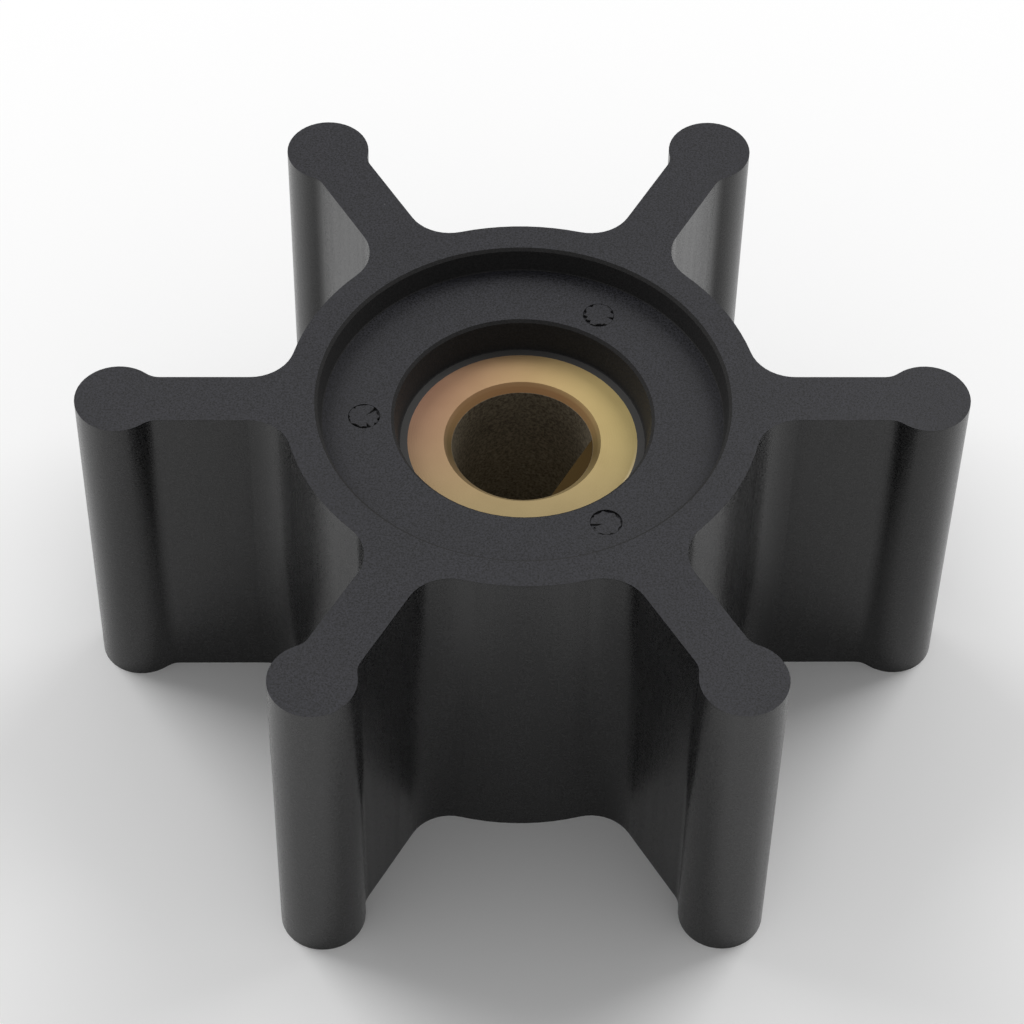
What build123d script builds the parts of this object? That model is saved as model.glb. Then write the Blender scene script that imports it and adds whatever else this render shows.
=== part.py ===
"""Flexible pump impeller: a rubber body with six bulb-tipped blades, moulded round a brass bush.

The origin is the centre of the lower end face.  +Z runs up the shaft bore, and one blade
points along +X.  Both end faces are alike, but only the upper one has gate marks.
"""

from build123d import *
from math import radians, tan
import os

# Rubber body, in millimetres and degrees
impeller_height = 22.2       # over both end faces
tip_diameter = 50.0          # over the bulbs, before the blades bend in the pump
blade_count = 6
blade_thickness = 3.2        # the same from the hub to the bulb
bulb_diameter = 4.8          # the round bead along each blade tip
bulb_fillet = 1.2            # the radius where a blade meets its bulb
hub_diameter = 26.7
root_fillet = 2.5            # the radius where a blade grows out of the hub

# Shallow recess in each end face
core_draft = 8.0             # the slope of every wall that a core is drawn from
core_bevel = 0.04            # the narrow bevel at the foot of those walls
mouth_bevel = 0.15           # the broken edge at the top of those walls
recess_diameter = 23.0       # at the end face
recess_depth = 1.5

# Brass bush, and the pocket that leads down to it from each recess
bush_diameter = 13.0
bush_setback = 3.6           # from an end face down to the face of the bush
pocket_ledge = 0.46          # the ring of rubber between the bush and the pocket wall
bore_diameter = 8.0
across_flat = 7.2            # from the flat of the D bore to the far side
flat_angle = -30.0           # the way the flat faces, seen from the axis
bore_chamfer = 0.45

# Locking grooves round the bush, filled by the rubber
groove_count = 3
groove_width = 1.6
groove_depth = 0.6

# Sunk marks on the floor of the upper recess, where the rubber was fed into the mould
gate_count = 3
gate_diameter = 1.8
gate_depth = 0.25
gate_angle = 60.0            # the first mark lies beside this blade
gate_circle = 17.8           # the diameter of the circle that they lie on

tip_radius = tip_diameter / 2
bulb_radius = bulb_diameter / 2
bulb_centre = tip_radius - bulb_radius
hub_radius = hub_diameter / 2
bush_radius = bush_diameter / 2
bore_radius = bore_diameter / 2
bush_length = impeller_height - 2 * bush_setback
flat_distance = across_flat - bore_radius
same_place = 0.01            # how near to its worked-out place a corner must lie to be picked
groove_pitch = bush_length / (groove_count + 1)
core_slope = tan(radians(core_draft))
recess_floor = impeller_height - recess_depth
recess_foot_radius = recess_diameter / 2 - recess_depth * core_slope
pocket_floor = impeller_height - bush_setback
pocket_foot_radius = bush_radius + pocket_ledge
middle = Plane.XY.offset(impeller_height / 2)


def blade_outline():
    """One blade and its bulb, along +X, with the small radii where the two meet."""
    half_blade = blade_thickness / 2
    web = Pos(bulb_centre / 2, 0) * Rectangle(bulb_centre, blade_thickness)
    outline = web + Pos(bulb_centre, 0) * Circle(bulb_radius)
    neck_x = bulb_centre - (bulb_radius**2 - half_blade**2) ** 0.5
    necks = [
        corner
        for corner in outline.vertices()
        if abs(corner.X - neck_x) < same_place and abs(abs(corner.Y) - half_blade) < same_place
    ]
    return fillet(necks, bulb_fillet)


def wheel_outline():
    """The whole end view: the hub, its blades and the root fillets."""
    wheel = Circle(hub_radius) + PolarLocations(0, blade_count) * blade_outline()
    roots = [
        corner
        for corner in wheel.vertices()
        if abs(Vector(corner.X, corner.Y).length - hub_radius) < same_place
    ]
    return fillet(roots, root_fillet)


def cored_hollow(floor_height, mouth_height, foot_radius):
    """A round hollow with a drafted wall, bevelled at its foot and with a broken edge at its mouth."""
    mouth_radius = foot_radius + core_slope * (mouth_height - floor_height)
    section = Polyline(
        (0, floor_height),
        (foot_radius - core_bevel, floor_height),
        (foot_radius + core_slope * core_bevel, floor_height + core_bevel),
        (mouth_radius - core_slope * mouth_bevel, mouth_height - mouth_bevel),
        (mouth_radius + mouth_bevel, mouth_height),
        (0, mouth_height),
        close=True,
    )
    return revolve(Plane.XZ * make_face(section), Axis.Z)


def end_hollow():
    """What the upper core of the mould leaves open: the recess and the pocket in its floor."""
    recess = cored_hollow(recess_floor, impeller_height, recess_foot_radius)
    pocket = cored_hollow(pocket_floor, recess_floor, pocket_foot_radius)
    return recess + pocket


def gate_marks():
    """The round marks that the gates leave in the floor of the upper recess."""
    places = PolarLocations(gate_circle / 2, gate_count, start_angle=gate_angle)
    mark = Pos(0, 0, recess_floor - gate_depth) * Cylinder(
        gate_diameter / 2, 2 * gate_depth, align=(Align.CENTER, Align.CENTER, Align.MIN)
    )
    return places * mark


def bush_blank():
    """The bush before it is bored, with its locking grooves.  The rubber fills round this shape."""
    half = Pos(bush_radius / 2, impeller_height / 2) * Rectangle(bush_radius, bush_length)
    for number in range(groove_count):
        height = bush_setback + groove_pitch * (number + 1)
        half -= Pos(bush_radius, height) * Rectangle(2 * groove_depth, groove_width)
    return revolve(Plane.XZ * half, Axis.Z)


def rubber_body():
    """The moulded part, open at both ends down to the bush."""
    body = extrude(wheel_outline(), impeller_height)
    upper = end_hollow()
    lower = mirror(upper, middle)
    return body - upper - lower - gate_marks() - bush_blank()


def d_bore():
    """The shaft hole: round but for one flat, right through the bush."""
    hole = extrude(Circle(bore_radius), impeller_height)
    beyond_flat = Pos(flat_distance, 0, 0) * Box(
        bore_radius, 2 * bore_radius, impeller_height, align=(Align.MIN, Align.CENTER, Align.MIN)
    )
    return Rot(0, 0, flat_angle) * (hole - beyond_flat)


def bore_mouth():
    """The turned chamfer at the upper mouth of the bore, cut round the full circle."""
    return Pos(0, 0, pocket_floor - bore_chamfer) * Cone(
        bore_radius, bore_radius + bore_chamfer, bore_chamfer,
        align=(Align.CENTER, Align.CENTER, Align.MIN),
    )


def brass_bush():
    """The turned bush with its D bore."""
    upper_mouth = bore_mouth()
    lower_mouth = mirror(upper_mouth, middle)
    return bush_blank() - d_bore() - upper_mouth - lower_mouth


os.makedirs("parts", exist_ok=True)
export_step(rubber_body(), "parts/rubber_body.step")
export_step(brass_bush(), "parts/brass_bush.step")
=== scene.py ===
# %% [markdown]
# # A rubber pump impeller on its brass bush
# This is the wheel out of a small water pump. Six straight rubber blades with a round bead at
# each tip grow out of a hub, and the rubber is moulded round a brass bush that takes the shaft.
# The solids come ready from the CAD frame. Blender gives them their finishes, adds what is too
# fine for the solids, and sets the light and the camera.

# %% Load the frame
import math

import bpy
from mathutils import Matrix, Vector


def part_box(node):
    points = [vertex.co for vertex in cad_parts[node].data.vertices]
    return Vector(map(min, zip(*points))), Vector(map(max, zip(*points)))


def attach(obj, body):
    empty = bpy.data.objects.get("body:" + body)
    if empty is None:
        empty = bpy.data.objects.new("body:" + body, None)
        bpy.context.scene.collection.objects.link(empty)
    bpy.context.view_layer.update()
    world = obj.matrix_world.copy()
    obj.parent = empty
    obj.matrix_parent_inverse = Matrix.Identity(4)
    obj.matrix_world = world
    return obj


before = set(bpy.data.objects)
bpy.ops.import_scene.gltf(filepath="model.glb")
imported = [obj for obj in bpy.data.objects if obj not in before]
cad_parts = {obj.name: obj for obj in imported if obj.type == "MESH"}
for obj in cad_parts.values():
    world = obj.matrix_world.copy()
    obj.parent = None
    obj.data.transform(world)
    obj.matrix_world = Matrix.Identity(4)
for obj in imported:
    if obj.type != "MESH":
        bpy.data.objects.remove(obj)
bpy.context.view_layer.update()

MM = 0.001
rubber_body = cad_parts["rubber_body"]
brass_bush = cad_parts["brass_bush"]
body_low, body_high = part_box("rubber_body")
bush_low, bush_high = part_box("brass_bush")
top = body_high.z

# %% [markdown]
# ## Small helpers
# Colours are written as the sRGB hex values that a painter would pick, and Blender's sockets
# want them linear. Every node of every material goes in through the same small function, so a
# material reads as a list of what it is made of. Operators act on everything that is selected,
# and the loaded solids arrive selected, so each modelling step starts from nothing selected.


# %% Helpers
def linear(hex_colour, alpha=1.0):
    """An sRGB hex colour as the linear values that a socket wants."""
    parts = [int(hex_colour[i:i + 2], 16) / 255 for i in (1, 3, 5)]
    parts = [p / 12.92 if p <= 0.04045 else ((p + 0.055) / 1.055) ** 2.4 for p in parts]
    return (*parts, alpha)


def add_node(tree, kind, settings=None, inputs=None):
    """Adds one node. Its inputs are values, or the output sockets that they are linked to."""
    node = tree.nodes.new(kind)
    for name, value in (settings or {}).items():
        setattr(node, name, value)
    for name, value in (inputs or {}).items():
        if isinstance(value, bpy.types.NodeSocket):
            tree.links.new(value, node.inputs[name])
        else:
            node.inputs[name].default_value = value
    return node


def new_material(name):
    """A material that holds a Principled shader and its output."""
    material = bpy.data.materials.new(name)
    material.use_nodes = True
    tree = material.node_tree
    tree.nodes.clear()
    shader = add_node(tree, "ShaderNodeBsdfPrincipled")
    add_node(tree, "ShaderNodeOutputMaterial", inputs={"Surface": shader.outputs[0]})
    return material, tree, shader


def give_material(piece, material):
    """Puts the material in every slot of the piece."""
    for slot in piece.material_slots:
        slot.material = material
    if not piece.material_slots:
        piece.data.materials.append(material)


def deselect_all():
    bpy.ops.object.select_all(action="DESELECT")


# %% [markdown]
# ## Camera
# The camera stands in front of the wheel and looks down on it at about fifty degrees through a
# long lens, so that the upright edges lean together only a little. A camera's own axes are X to
# the right, Y up and Z back, so its turn is written straight from those three directions.

# %% Camera
view_azimuth = math.radians(-1.60)
view_elevation = math.radians(50.39)
view_roll = math.radians(1.20)
view_distance = 190.98 * MM
view_target = Vector((-0.73 * MM, -8.215 * MM, top))

back = Vector((
    math.sin(view_azimuth) * math.cos(view_elevation),
    -math.cos(view_azimuth) * math.cos(view_elevation),
    math.sin(view_elevation),
))
level_right = Vector((math.cos(view_azimuth), math.sin(view_azimuth), 0.0))
level_up = back.cross(level_right)
right = level_right * math.cos(view_roll) + level_up * math.sin(view_roll)
up = level_up * math.cos(view_roll) - level_right * math.sin(view_roll)

deselect_all()
bpy.ops.object.camera_add(location=view_target + back * view_distance)
camera = bpy.context.object
camera.name = "camera"
camera.rotation_mode = "QUATERNION"
camera.rotation_quaternion = Matrix((right, up, back)).transposed().to_quaternion()
camera.data.sensor_width = 36.0
camera.data.lens = 123.77
camera.data.clip_start = 0.01
camera.data.clip_end = 10.0
bpy.context.scene.camera = camera
print("camera at", [round(x / MM, 1) for x in camera.location], "mm")

# %% [markdown]
# ## Floor and light
# Black rubber has hardly any colour of its own: what the eye reads is the room and the floor
# mirrored faintly in it, and more strongly where a wall is seen at a grazing angle. So the wheel
# stands on white paper in an even, dim room, and two soft boxes behind it, one to each side, draw
# the pale rims of the outer blades and light the walls that face them. The paper is a full white
# where the lens sees it, straight or in a reflection, and a little greyer for the light that it
# throws back on the wheel, as a real sheet is.

# %% Floor
floor_half = 0.6
floor_gap = 0.01 * MM
deselect_all()
bpy.ops.mesh.primitive_plane_add(size=2 * floor_half, location=(0, 0, body_low.z - floor_gap))
floor = bpy.context.object
floor.name = "floor"

paper, tree, shader = new_material("white_paper_floor")
path = add_node(tree, "ShaderNodeLightPath")
seen = add_node(tree, "ShaderNodeMath", {"operation": "MAXIMUM"}, {
    0: path.outputs["Is Camera Ray"], 1: path.outputs["Is Glossy Ray"]}).outputs[0]
shown = add_node(tree, "ShaderNodeMix", {"data_type": "RGBA"}, {
    "Factor": seen, "A": linear("#E6E6E6"), "B": linear("#FFFFFF")})
tree.links.new(shown.outputs["Result"], shader.inputs["Base Color"])
shader.inputs["Roughness"].default_value = 0.9
shader.inputs["Specular IOR Level"].default_value = 0.0
give_material(floor, paper)

# %% Room and soft boxes
world = bpy.data.worlds.new("dim_white_room")
bpy.context.scene.world = world
world.use_nodes = True
tree = world.node_tree
tree.nodes.clear()
room_strength = 0.44
room = add_node(tree, "ShaderNodeBackground", inputs={
    "Color": linear("#FFFFFF"), "Strength": room_strength})
add_node(tree, "ShaderNodeOutputWorld", inputs={"Surface": room.outputs[0]})


def soft_box(name, azimuth, elevation, distance, size, watts):
    """A square lamp round the wheel that faces it. Azimuth 0 is the camera's side, 90 is +X."""
    a, e = math.radians(azimuth), math.radians(elevation)
    away = Vector((math.sin(a) * math.cos(e), -math.cos(a) * math.cos(e), math.sin(e)))
    deselect_all()
    bpy.ops.object.light_add(type="AREA", location=away * distance)
    lamp = bpy.context.object
    lamp.name = name
    lamp.rotation_mode = "QUATERNION"
    lamp.rotation_quaternion = away.to_track_quat("Z", "Y")
    lamp.data.size = size
    lamp.data.energy = watts
    print(name, "stands", round(lamp.location.z / MM), "mm up and gives", watts, "W")


soft_box("soft_box_right", azimuth=130, elevation=42, distance=0.6, size=0.32, watts=1.45)
soft_box("soft_box_left", azimuth=234, elevation=42, distance=0.6, size=0.32, watts=1.5)

# %% [markdown]
# ## Rubber
# The body is nitrile rubber filled with carbon black, pressed and cured in a steel mould. Carbon
# black swallows nearly all light, so the base colour is close to black, and the grey that shows
# is the room in the surface. Where the mould's walls were ground the rubber is smooth, with faint
# upright marks from drawing it out. The end faces, and the hollows that the mould's core left in
# them, are matt and have a fine grain. The normal's height and the distance from the axis tell
# them apart, so one material does for the whole body. Where the normal leans by less than about
# fourteen degrees it is wholly an end face, and past about thirty-seven it is wholly a wall.

# %% Rubber material
nitrile, tree, shader = new_material("moulded_nitrile_rubber")
place = add_node(tree, "ShaderNodeTexCoord").outputs["Object"]
height = add_node(tree, "ShaderNodeSeparateXYZ", inputs={0: place}).outputs["Z"]
normal_z = add_node(tree, "ShaderNodeSeparateXYZ", inputs={
    0: add_node(tree, "ShaderNodeNewGeometry").outputs["Normal"]}).outputs["Z"]
level = add_node(tree, "ShaderNodeMath", {"operation": "ABSOLUTE"}, {0: normal_z}).outputs[0]
wall_level, face_level = 0.80, 0.97
end_face = add_node(tree, "ShaderNodeMapRange", inputs={
    "Value": level, "From Min": wall_level, "From Max": face_level}).outputs[0]
hollow_radius = 12.2 * MM
from_axis = add_node(tree, "ShaderNodeVectorMath", {"operation": "LENGTH"}, {
    0: add_node(tree, "ShaderNodeVectorMath", {"operation": "MULTIPLY"}, {
        0: place, 1: (1.0, 1.0, 0.0)}).outputs[0]}).outputs["Value"]
in_hollow = add_node(tree, "ShaderNodeMath", {"operation": "LESS_THAN"}, {
    0: from_axis, 1: hollow_radius}).outputs[0]
cored_or_end = add_node(tree, "ShaderNodeMath", {"operation": "MAXIMUM"}, {
    0: end_face, 1: in_hollow}).outputs[0]

# %% [markdown]
# The grain is near a tenth of a millimetre across, about two pixels in the render. A slower
# cloud under it keeps the big faces from looking even, and the drawing marks are the same kind
# of noise pulled out along the height.

# %% Rubber grain, clouds and drawing marks
grain_mm = 0.11
grain = add_node(tree, "ShaderNodeTexNoise", inputs={
    "Vector": place, "Scale": 1 / (grain_mm * MM), "Detail": 3.0, "Roughness": 0.6}).outputs[0]
cloud_mm = 3.5
cloud = add_node(tree, "ShaderNodeTexNoise", inputs={
    "Vector": place, "Scale": 1 / (cloud_mm * MM), "Detail": 4.0, "Roughness": 0.55}).outputs[0]
mark_mm = 0.8
mark_stretch = 0.06
drawn_out = add_node(tree, "ShaderNodeMapping", inputs={
    "Vector": place, "Scale": (1.0, 1.0, mark_stretch)}).outputs[0]
marks = add_node(tree, "ShaderNodeTexNoise", inputs={
    "Vector": drawn_out, "Scale": 1 / (mark_mm * MM), "Detail": 3.0}).outputs[0]

# %% [markdown]
# A noise texture runs from 0 to 1, but most of it lies near the middle, so used as it is it gives
# a weak pattern. A Map Range node that takes in only the middle of it makes the pattern clear. A
# narrow band gives strong grain, and a wide one softer patches.

# %% Noise bands
narrow_band = {"From Min": 0.35, "From Max": 0.65}
wide_band = {"From Min": 0.3, "From Max": 0.7}

# %% [markdown]
# Just under the rim of the upper end face, where the mould closes, a thin dark band that comes
# and goes is painted round the outer walls: partly the mould's seam, partly painted shade of the
# slightly rounded edge. Specks of pale dust stick to the rubber, about one to the square
# centimetre: a Voronoi texture gives the distance to scattered points, and a speck is where one
# of them happens to lie on the surface. The finest dust has settled as a grey film on the ledge
# round the bush.

# %% Painted rim shade and dust
rim_mm = 0.10
rim_wave_mm = 1.2
rim_wave = add_node(tree, "ShaderNodeTexNoise", inputs={
    "Vector": place, "Scale": 1 / (rim_wave_mm * MM), "Detail": 2.0}).outputs[0]
rim_edge = add_node(tree, "ShaderNodeMapRange", inputs={
    "Value": rim_wave, **wide_band,
    "To Min": top - 0.2 * rim_mm * MM, "To Max": top - 1.6 * rim_mm * MM}).outputs[0]
on_painted_rim_shade = add_node(tree, "ShaderNodeMath", {"operation": "GREATER_THAN"}, {
    0: height, 1: rim_edge}).outputs[0]
dust_mm = 2.2
dust_cells = add_node(tree, "ShaderNodeTexVoronoi", inputs={
    "Vector": place, "Scale": 1 / (dust_mm * MM), "Randomness": 1.0}).outputs["Distance"]
speck_mm = 0.06
speck = add_node(tree, "ShaderNodeMapRange", inputs={
    "Value": dust_cells,
    "From Min": speck_mm / dust_mm, "From Max": 0.4 * speck_mm / dust_mm}).outputs[0]
film_starts = top - 2.2 * MM
film_full = top - 3.5 * MM
in_pocket = add_node(tree, "ShaderNodeMapRange", inputs={
    "Value": height, "From Min": film_starts, "From Max": film_full}).outputs[0]
film = add_node(tree, "ShaderNodeMath", {"operation": "MULTIPLY"}, {
    0: in_pocket, 1: end_face}).outputs[0]

# %% [markdown]
# The rubber's blacks differ a little: neutral on the outer walls, darker on the walls of the
# hollows as painted shade, and with a trace of blue on whatever faces up or down, a painted tint
# of reflected light. The grain goes over them as soft light, and then the painted rim shade,
# the film and the specks each cover what lies under them.

# %% Rubber colour
wall_tone = add_node(tree, "ShaderNodeMix", {"data_type": "RGBA"}, {
    "Factor": cloud, "A": linear("#191919"), "B": linear("#1F1F20")}).outputs["Result"]
# Painted reflection: the end faces get a trace of blue, the tint of reflected light.
face_tone_with_painted_blue = add_node(tree, "ShaderNodeMix", {"data_type": "RGBA"}, {
    "Factor": cloud, "A": linear("#19191E"), "B": linear("#202026")}).outputs["Result"]
# Painted shade: the walls of the hollows are given a darker black.
wall_with_painted_hollow_shade = add_node(tree, "ShaderNodeMix", {"data_type": "RGBA"}, {
    "Factor": in_hollow, "A": wall_tone, "B": linear("#131212")}).outputs["Result"]
rubber_tone_with_painted_shade = add_node(tree, "ShaderNodeMix", {"data_type": "RGBA"}, {
    "Factor": end_face, "A": wall_with_painted_hollow_shade, "B": face_tone_with_painted_blue}).outputs["Result"]
fine = add_node(tree, "ShaderNodeMapRange", inputs={"Value": grain, **narrow_band}).outputs[0]
grained = add_node(tree, "ShaderNodeMix", {"data_type": "RGBA", "blend_type": "SOFT_LIGHT"}, {
    "Factor": 0.8, "A": rubber_tone_with_painted_shade, "B": fine}).outputs["Result"]
# Painted shade: a near-black band just under the rim of the outer walls.
rim_shaded = add_node(tree, "ShaderNodeMix", {"data_type": "RGBA"}, {
    "Factor": on_painted_rim_shade, "A": grained, "B": linear("#050505")}).outputs["Result"]
rim_shaded_outside = add_node(tree, "ShaderNodeMix", {"data_type": "RGBA"}, {
    "Factor": cored_or_end, "A": rim_shaded, "B": grained}).outputs["Result"]
with_film = add_node(tree, "ShaderNodeMix", {"data_type": "RGBA"}, {
    "Factor": film, "A": rim_shaded_outside, "B": linear("#434241")}).outputs["Result"]
with_specks = add_node(tree, "ShaderNodeMix", {"data_type": "RGBA"}, {
    "Factor": speck, "A": with_film, "B": linear("#48494C")}).outputs["Result"]
tree.links.new(with_specks, shader.inputs["Base Color"])

# %% [markdown]
# A roughness near a quarter lets the outer walls mirror the floor and the soft boxes softly. The
# drawing marks and the grain both vary it there. On what faces up or down it is near a half, and
# on the walls of the hollows so high that they mirror hardly anything. Cured rubber has an IOR
# of about 1.5.

# %% Rubber gloss
marked_gloss = add_node(tree, "ShaderNodeMapRange", inputs={
    "Value": marks, **wide_band, "To Min": 0.22, "To Max": 0.31}).outputs[0]
gloss_grain = add_node(tree, "ShaderNodeMapRange", inputs={
    "Value": grain, **narrow_band, "To Min": -0.05, "To Max": 0.05}).outputs[0]
outer_gloss = add_node(tree, "ShaderNodeMath", {"operation": "ADD"}, {
    0: marked_gloss, 1: gloss_grain}).outputs[0]
hollow_roughness = 0.8
wall_gloss = add_node(tree, "ShaderNodeMix", {"data_type": "FLOAT"}, {
    "Factor": in_hollow, "A": outer_gloss, "B": hollow_roughness}).outputs["Result"]
face_gloss = add_node(tree, "ShaderNodeMapRange", inputs={
    "Value": grain, **narrow_band, "To Min": 0.40, "To Max": 0.58}).outputs[0]
roughness = add_node(tree, "ShaderNodeMix", {"data_type": "FLOAT"}, {
    "Factor": end_face, "A": wall_gloss, "B": face_gloss}).outputs["Result"]
tree.links.new(roughness, shader.inputs["Roughness"])
shader.inputs["IOR"].default_value = 1.50

# %% Rubber relief
mark_depth = 0.02 * MM
grain_depth = 0.012 * MM
mark_bump = add_node(tree, "ShaderNodeBump", inputs={
    "Strength": 0.2, "Distance": mark_depth, "Height": marks}).outputs[0]
grain_strength = add_node(tree, "ShaderNodeMapRange", inputs={
    "Value": cored_or_end, "To Min": 0.8, "To Max": 0.75}).outputs[0]
grain_bump = add_node(tree, "ShaderNodeBump", inputs={
    "Strength": grain_strength, "Distance": grain_depth, "Height": grain,
    "Normal": mark_bump}).outputs[0]
tree.links.new(grain_bump, shader.inputs["Normal"])
give_material(rubber_body, nitrile)
print(nitrile.name, "has", len(tree.nodes), "nodes")

# %% [markdown]
# ## Brass
# The bush is cut from bar on a lathe, so its end faces carry fine rings round the bore. The hot
# mould has tarnished it: on the far side from a dull copper pink to straw yellow, and a plain tan
# on the near side, with painted shade and light over that, darker towards the near side and the
# left and brighter towards the far right. The chamfer is browner towards the bore, with a painted
# warm reflection on its far side, and cleaner on the near side. The bore is coated with oxide and
# old grease, so it is hardly metal to the eye, and it is painted paler deeper down against the
# shade there.

# %% Brass places
brass, tree, shader = new_material("turned_brass")
place = add_node(tree, "ShaderNodeTexCoord").outputs["Object"]
axes = add_node(tree, "ShaderNodeSeparateXYZ", inputs={0: place}).outputs
flat_place = add_node(tree, "ShaderNodeCombineXYZ", inputs={
    "X": axes["X"], "Y": axes["Y"]}).outputs[0]
radius = add_node(tree, "ShaderNodeVectorMath", {"operation": "LENGTH"}, {
    0: flat_place}).outputs["Value"]
normal_z = add_node(tree, "ShaderNodeSeparateXYZ", inputs={
    0: add_node(tree, "ShaderNodeNewGeometry").outputs["Normal"]}).outputs["Z"]
level = add_node(tree, "ShaderNodeMath", {"operation": "ABSOLUTE"}, {0: normal_z}).outputs[0]
slope_level, flat_level = 0.80, 0.95
on_face = add_node(tree, "ShaderNodeMapRange", inputs={
    "Value": level, "From Min": slope_level, "From Max": flat_level}).outputs[0]
bush_radius = bush_high.x
bore_radius = 4.0 * MM
hair = 0.01 * MM
in_bore = add_node(tree, "ShaderNodeMath", {"operation": "LESS_THAN"}, {
    0: radius, 1: bore_radius + hair}).outputs[0]

# %% Brass end faces
right_share = add_node(tree, "ShaderNodeMapRange", inputs={
    "Value": axes["X"], "From Min": bush_low.x, "From Max": bush_high.x}).outputs[0]
far_share = add_node(tree, "ShaderNodeMapRange", inputs={
    "Value": axes["Y"], "From Min": bush_low.y, "From Max": bush_high.y}).outputs[0]
# Painted shade and light: the tarnish runs darker to the left and near side, brighter to the far
# right.
far_tarnish_and_painted_light = add_node(tree, "ShaderNodeMix", {"data_type": "RGBA"}, {
    "Factor": right_share, "A": linear("#B88678"), "B": linear("#E2CE8D")}).outputs["Result"]
tarnish_and_painted_light = add_node(tree, "ShaderNodeMix", {"data_type": "RGBA"}, {
    "Factor": far_share, "A": linear("#A4946E"), "B": far_tarnish_and_painted_light}).outputs["Result"]
stain_mm = 2.5
stain = add_node(tree, "ShaderNodeTexNoise", inputs={
    "Vector": place, "Scale": 1 / (stain_mm * MM), "Detail": 3.0}).outputs[0]
stained = add_node(tree, "ShaderNodeMix", {"data_type": "RGBA", "blend_type": "SOFT_LIGHT"}, {
    "Factor": 0.25, "A": tarnish_and_painted_light, "B": stain}).outputs["Result"]

# %% [markdown]
# A painted highlight lies on the outer rim of the end face, on one side only, where a slightly
# rounded edge would catch the light. A dot product with a direction says how far a point lies
# towards that side.

# %% Painted rim highlight
highlight_angle = math.radians(-45)
highlight_side = add_node(tree, "ShaderNodeVectorMath", {"operation": "DOT_PRODUCT"}, {
    0: flat_place, 1: (math.cos(highlight_angle), math.sin(highlight_angle), 0.0)}).outputs["Value"]
highlight_strength = add_node(tree, "ShaderNodeMapRange", inputs={
    "Value": highlight_side, "From Min": 0.7 * bush_radius, "From Max": bush_radius,
    "To Max": 0.7}).outputs[0]
highlight_width = 0.16 * MM
highlight_share = add_node(tree, "ShaderNodeMapRange", inputs={
    "Value": radius, "From Min": bush_radius - highlight_width,
    "From Max": bush_radius - 0.5 * highlight_width, "To Max": highlight_strength}).outputs[0]
# Painted highlight: a pale line along the rim of the end face on one side.
bush_face_tone = add_node(tree, "ShaderNodeMix", {"data_type": "RGBA"}, {
    "Factor": highlight_share, "A": stained, "B": linear("#E9D9B4")}).outputs["Result"]

# %% [markdown]
# The bore's coat of oxide and grease is mottled, and is painted paler from its mouth down, as
# painted light against the shade deeper in the bore. The bore has a flat on one side, and the
# small step at the top of that flat is bare metal, given a dark brown as painted shade.

# %% Bore
mottle_mm = 0.16
mottle = add_node(tree, "ShaderNodeTexNoise", inputs={
    "Vector": place, "Scale": 1 / (mottle_mm * MM), "Detail": 4.0, "Roughness": 0.6}).outputs[0]
mottle_share = add_node(tree, "ShaderNodeMapRange", inputs={
    "Value": mottle, **narrow_band}).outputs[0]
bore_shallow = add_node(tree, "ShaderNodeMix", {"data_type": "RGBA"}, {
    "Factor": mottle_share, "A": linear("#554C3E"), "B": linear("#8C826F")}).outputs["Result"]
bore_deep_with_painted_light = add_node(tree, "ShaderNodeMix", {"data_type": "RGBA"}, {
    "Factor": mottle_share, "A": linear("#776B56"), "B": linear("#B4A88F")}).outputs["Result"]
# Painted light: the coat is paler deeper down, against the shade inside the bore.
dark_depth = 3.0 * MM
pale_depth = 9.0 * MM
painted_light_depth_share = add_node(tree, "ShaderNodeMapRange", inputs={
    "Value": axes["Z"],
    "From Min": bush_high.z - dark_depth, "From Max": bush_high.z - pale_depth}).outputs[0]
bore_tone = add_node(tree, "ShaderNodeMix", {"data_type": "RGBA"}, {
    "Factor": painted_light_depth_share, "A": bore_shallow, "B": bore_deep_with_painted_light}).outputs["Result"]
# Painted shade: the bare step at the top of the flat is given a dark brown.
bore_and_painted_step_shade = add_node(tree, "ShaderNodeMix", {"data_type": "RGBA"}, {
    "Factor": on_face, "A": bore_tone, "B": linear("#46371F")}).outputs["Result"]

# %% [markdown]
# The chamfer has three browns: one to the left, one to the right and a warmer one on the far
# side, which is a painted reflection. Towards its outer edge it is partly clean, in patches, and
# on the near side it is as clean as the end face.

# %% Chamfer
chamfer_side = add_node(tree, "ShaderNodeMix", {"data_type": "RGBA"}, {
    "Factor": right_share, "A": linear("#716044"), "B": linear("#7C6A44")}).outputs["Result"]
far_reflection_part = add_node(tree, "ShaderNodeMapRange", inputs={
    "Value": far_share, "From Min": 0.5, "From Max": 0.82}).outputs[0]
# Painted reflection: a warm brown on the far side of the chamfer.
chamfer_with_painted_reflection = add_node(tree, "ShaderNodeMix", {"data_type": "RGBA"}, {
    "Factor": far_reflection_part, "A": chamfer_side, "B": linear("#A67F58")}).outputs["Result"]
near_part = add_node(tree, "ShaderNodeMapRange", inputs={
    "Value": far_share, "From Min": 0.45, "From Max": 0.2}).outputs[0]
brown_width = 0.20 * MM
clean_width = 0.50 * MM
outer_part = add_node(tree, "ShaderNodeMapRange", inputs={
    "Value": radius,
    "From Min": bore_radius + brown_width, "From Max": bore_radius + clean_width}).outputs[0]
patchy_part = add_node(tree, "ShaderNodeMath", {"operation": "MULTIPLY"}, {
    0: outer_part, 1: stain}).outputs[0]
clean_part = add_node(tree, "ShaderNodeMath", {"operation": "MAXIMUM"}, {
    0: near_part, 1: patchy_part}).outputs[0]
chamfer_tone = add_node(tree, "ShaderNodeMix", {"data_type": "RGBA"}, {
    "Factor": clean_part, "A": chamfer_with_painted_reflection, "B": tarnish_and_painted_light}).outputs["Result"]
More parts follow.
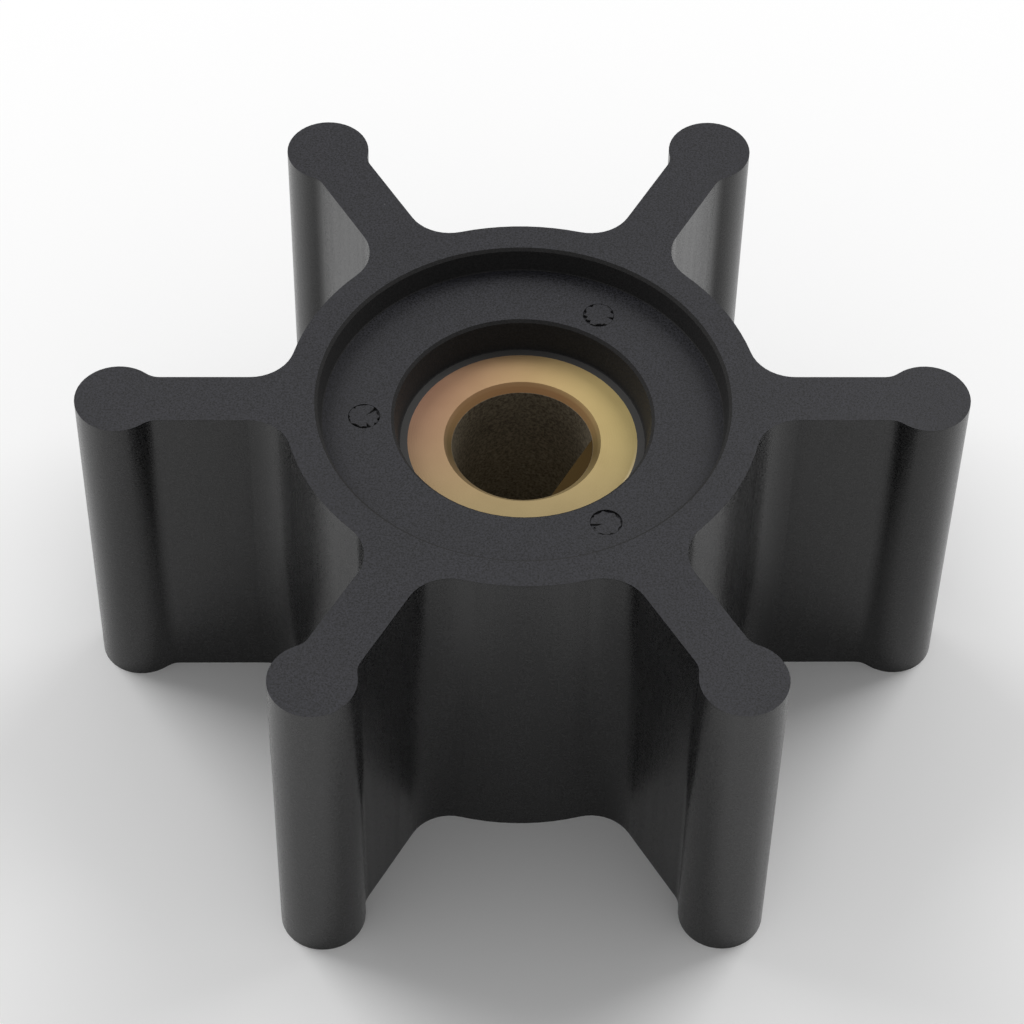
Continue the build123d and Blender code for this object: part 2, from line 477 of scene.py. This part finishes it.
mouth_tone = add_node(tree, "ShaderNodeMix", {"data_type": "RGBA"}, {
    "Factor": on_face, "A": chamfer_tone, "B": bush_face_tone}).outputs["Result"]

# %% Brass colour and bare metal
brass_tone = add_node(tree, "ShaderNodeMix", {"data_type": "RGBA"}, {
    "Factor": in_bore, "A": mouth_tone, "B": bore_and_painted_step_shade}).outputs["Result"]
tree.links.new(brass_tone, shader.inputs["Base Color"])
coated = add_node(tree, "ShaderNodeMath", {"operation": "SUBTRACT", "use_clamp": True}, {
    0: in_bore, 1: on_face}).outputs[0]
bare_metal = add_node(tree, "ShaderNodeMapRange", inputs={
    "Value": coated, "To Min": 1.0, "To Max": 0.25}).outputs[0]
tree.links.new(bare_metal, shader.inputs["Metallic"])

# %% [markdown]
# The lathe's feed is a few hundredths of a millimetre a turn, too fine to show, so the rings are
# drawn coarser. The wave texture turns by twenty radians over a length of one at scale 1, which
# the scale has to allow for. Tarnish dulls the metal unevenly, which the roughness follows.

# %% Brass gloss and rings
dull = add_node(tree, "ShaderNodeMapRange", inputs={
    "Value": stain, **wide_band, "To Min": 0.55, "To Max": 0.65}).outputs[0]
tree.links.new(dull, shader.inputs["Roughness"])
ring_mm = 0.14
ring_depth = 0.01 * MM
radians_per_length = 20
rings = add_node(tree, "ShaderNodeTexWave", {
    "wave_type": "RINGS", "rings_direction": "Z", "wave_profile": "SIN"}, {
    "Vector": flat_place, "Scale": 2 * math.pi / (radians_per_length * ring_mm * MM),
    "Distortion": 0.4, "Detail": 2.0}).outputs[0]
ring_bump = add_node(tree, "ShaderNodeBump", inputs={
    "Strength": 0.15, "Distance": ring_depth, "Height": rings}).outputs[0]
pit_depth = 0.02 * MM
pit_strength = add_node(tree, "ShaderNodeMapRange", inputs={
    "Value": in_bore, "To Min": 0.05, "To Max": 0.5}).outputs[0]
pit_bump = add_node(tree, "ShaderNodeBump", inputs={
    "Strength": pit_strength, "Distance": pit_depth, "Height": mottle,
    "Normal": ring_bump}).outputs[0]
tree.links.new(pit_bump, shader.inputs["Normal"])
give_material(brass_bush, brass)
print(brass.name, "has", len(tree.nodes), "nodes")

# %% [markdown]
# ## Gate stubs
# Rubber flows into the mould through three gates in the recess floor. When the wheel is pulled
# out, the runners tear off inside the small dimples. Each leaves a ragged plug that still sticks
# to the dimple in places and has an open, dark gap in others. A plug starts as a disc that fills
# the dimple, is pulled in where it has come loose, and is then drawn up to the recess floor.

# %% Gate sizes and a flat disc
gate_circle_radius = 8.9 * MM
gate_radius = 0.9 * MM
gate_depth = 0.25 * MM
recess_floor = top - 1.5 * MM
dimple_floor = recess_floor - gate_depth
stump_height = 0.10 * MM
plug_edge = 0.03 * MM
raggedness = 0.015 * MM
outline_points = 80


def polar(radius, degrees, height=0.0):
    """The vector with this length and angle in plan, at this height."""
    a = math.radians(degrees)
    return Vector((radius * math.cos(a), radius * math.sin(a), height))


def select_only(piece):
    deselect_all()
    piece.select_set(True)
    bpy.context.view_layer.objects.active = piece


def flat_disc(degrees):
    """A flat disc that fills the dimple at this angle of the gate circle."""
    deselect_all()
    bpy.ops.mesh.primitive_circle_add(
        vertices=outline_points, radius=gate_radius, fill_type="NGON",
        location=polar(gate_circle_radius, degrees, dimple_floor))
    return bpy.context.object


# %% [markdown]
# Proportional editing moves one point of the outline and lets its neighbours follow less and
# less, as a finger would push clay. With a long reach it opens a gap, and with a very short one
# it draws a single point in and leaves a crack.


# %% Pulling in an outline
def pull_in(plug, degrees, depth, reach):
    """Pulls the plug's outline towards its middle round one angle."""
    aim = polar(gate_radius, degrees)
    nearest = min(plug.data.vertices, key=lambda vertex: (vertex.co - aim).length).index
    bpy.ops.object.mode_set(mode="EDIT")
    bpy.ops.mesh.select_all(action="DESELECT")
    bpy.ops.object.mode_set(mode="OBJECT")
    plug.data.vertices[nearest].select = True
    bpy.ops.object.mode_set(mode="EDIT")
    bpy.ops.transform.translate(
        value=polar(-depth, degrees), use_proportional_edit=True,
        proportional_edit_falloff="SMOOTH", proportional_size=reach)
    bpy.ops.object.mode_set(mode="OBJECT")


def roughen(plug, seed):
    """Shakes the flat plug's points a little, and presses it flat again."""
    select_only(plug)
    bpy.ops.object.mode_set(mode="EDIT")
    bpy.ops.mesh.select_all(action="SELECT")
    bpy.ops.transform.vertex_random(offset=raggedness, uniform=1.0, normal=0.0, seed=seed)
    bpy.ops.transform.resize(value=(1.0, 1.0, 0.0), center_override=plug.location)
    bpy.ops.object.mode_set(mode="OBJECT")


# %% [markdown]
# The disc is extruded to its height, and an inset that rises rounds off the edge of its top. The
# flat face that was the start is the plug's base, and the extrusion can leave it facing inwards,
# so the normals are made to point outwards. A low round stump, the part of the runner that has
# stayed whole, is made the same way and joined under the ragged plug, so that the gaps between
# the plug and the dimple aren't bottomless.


# %% Drawing up a plug
def draw_up(piece, amount, edge=0.0):
    """Draws the flat piece up by this amount, and rounds off its top's edge if one is given."""
    select_only(piece)
    bpy.ops.object.mode_set(mode="EDIT")
    bpy.ops.mesh.select_all(action="SELECT")
    bpy.ops.mesh.extrude_region_move(TRANSFORM_OT_translate={"value": (0, 0, amount - edge)})
    if edge:
        bpy.ops.mesh.inset(thickness=edge, depth=edge)
    bpy.ops.mesh.select_all(action="SELECT")
    bpy.ops.mesh.normals_make_consistent(inside=False)
    bpy.ops.object.mode_set(mode="OBJECT")


def torn_plug(name, degrees, sunk, gaps, seed):
    """A torn rubber plug in the dimple at this angle, with the stump that it grows from."""
    stump = flat_disc(degrees)
    draw_up(stump, stump_height)
    plug = flat_disc(degrees)
    plug.name = name
    for gap_angle, depth, reach in gaps:
        pull_in(plug, gap_angle, depth * MM, reach * MM)
    roughen(plug, seed)
    draw_up(plug, gate_depth - sunk * MM, edge=plug_edge)
    stump.select_set(True)
    bpy.ops.object.join()
    bpy.ops.object.transform_apply(location=True, rotation=True, scale=True)
    return plug


# %% [markdown]
# No two gates tear alike. The far plug is loose on its left and near sides, the left one is
# cracked from its far right, and the near one has torn off a little deeper. Each has a name,
# its angle on the gate circle, how far it sinks in mm, its gaps and a seed. A gap is an angle,
# how far the outline is pulled in there in mm, and the pull's reach in mm.

# %% Gate stubs
plugs = (
    ("gate_stub_far", 60, 0.01,
     ((115, 0.13, 0.20), (160, 0.18, 0.30), (188, 0.26, 0.20), (205, 0.14, 0.30),
      (222, 0.24, 0.22), (245, 0.10, 0.20), (268, 0.24, 0.42), (292, 0.16, 0.20),
      (20, 0.16, 0.16), (340, 0.32, 0.10)), 3),
    ("gate_stub_left", 180, 0.01,
     ((95, 0.06, 0.45), (130, 0.12, 0.10), (180, 0.10, 0.14), (200, 0.06, 0.30),
      (240, 0.18, 0.45), (268, 0.16, 0.30), (288, 0.36, 0.12), (20, 0.16, 0.36),
      (345, 0.13, 0.26), (41, 0.60, 0.11), (320, 0.12, 0.12)), 8),
    ("gate_stub_near", -60, 0.06,
     ((35, 0.16, 0.40), (75, 0.14, 0.45), (120, 0.14, 0.34), (150, 0.10, 0.14),
      (192, 0.60, 0.12), (205, 0.22, 0.26), (250, 0.10, 0.34), (290, 0.10, 0.40),
      (335, 0.12, 0.40), (5, 0.10, 0.30)), 5),
)
for name, degrees, sunk, gaps, seed in plugs:
    plug = torn_plug(name, degrees, sunk, gaps, seed)
    give_material(plug, nitrile)
    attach(plug, "root")
    print(name, "has", len(plug.data.polygons), "faces")

# %% [markdown]
# ## Finish
# The view transform is set to Standard, so that a colour shows as it is written.

# %% Finish
bpy.context.scene.view_settings.view_transform = "Standard"
deselect_all()
